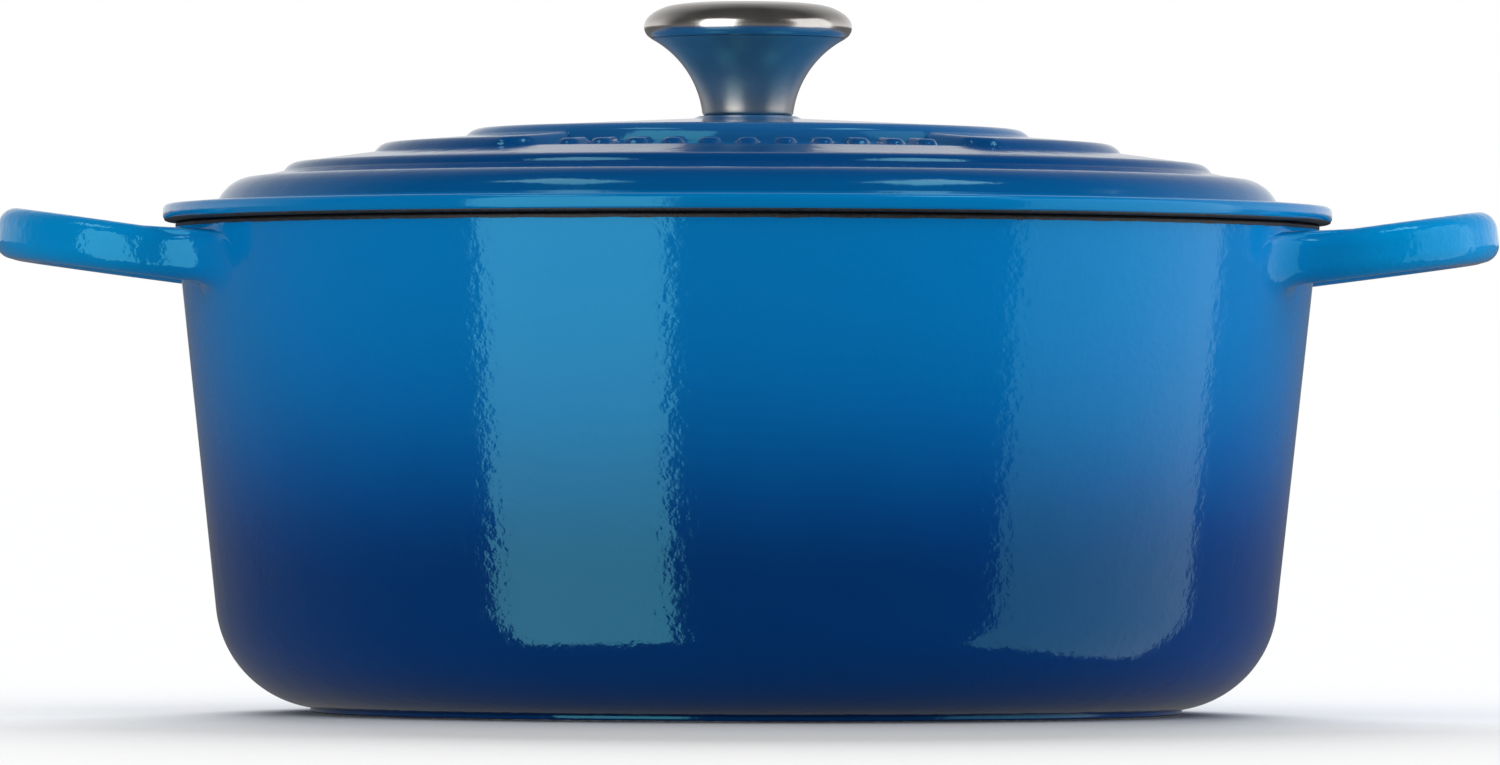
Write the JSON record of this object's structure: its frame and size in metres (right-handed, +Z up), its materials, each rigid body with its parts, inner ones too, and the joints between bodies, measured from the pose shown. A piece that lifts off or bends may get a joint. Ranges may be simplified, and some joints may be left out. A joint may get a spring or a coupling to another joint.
{
  "type": "dutch oven",
  "caption": "Round enamelled cast iron casserole with loop handles and a domed lid that lifts off by a steel knob.",
  "frame": {"origin": "centre of the foot ring's plane, on the pot's axis", "axes": "+X through the two loop handles, +Z up along the pot's axis, the ornamented panel of the lid faces -Y"},
  "size_m": [0.3538, 0.2764, 0.1683],
  "materials": {
    "iron": "bare sand-cast iron",
    "blue_enamel": "glossy blue enamel, shaded darker towards the base",
    "sand_enamel": "glossy sand coloured enamel",
    "dark_enamel": "matt black enamel",
    "knob_steel": "finely brushed and polished stainless steel",
    "fastener_steel": "turned stainless steel"
  },
  "bodies": {
    "pot": {"pot_casting": "iron", "pot_exterior_enamel": "blue_enamel", "pot_base_enamel": "blue_enamel", "pot_interior_enamel": "sand_enamel", "pot_rim_enamel": "dark_enamel"},
    "lid": {"lid_casting": "iron", "lid_exterior_enamel": "blue_enamel", "lid_interior_enamel": "sand_enamel", "lid_rim_enamel": "dark_enamel", "knob_flare": "knob_steel", "knob_cap": "knob_steel", "knob_bush": "fastener_steel", "knob_washer": "fastener_steel", "knob_screw": "fastener_steel"}
  },
  "joints": [
    {"name": "lid_lift", "type": "slide", "parent": "pot", "child": "lid", "axis": [0, 0, 1], "range_m": [0, 0.15]}
  ]
}
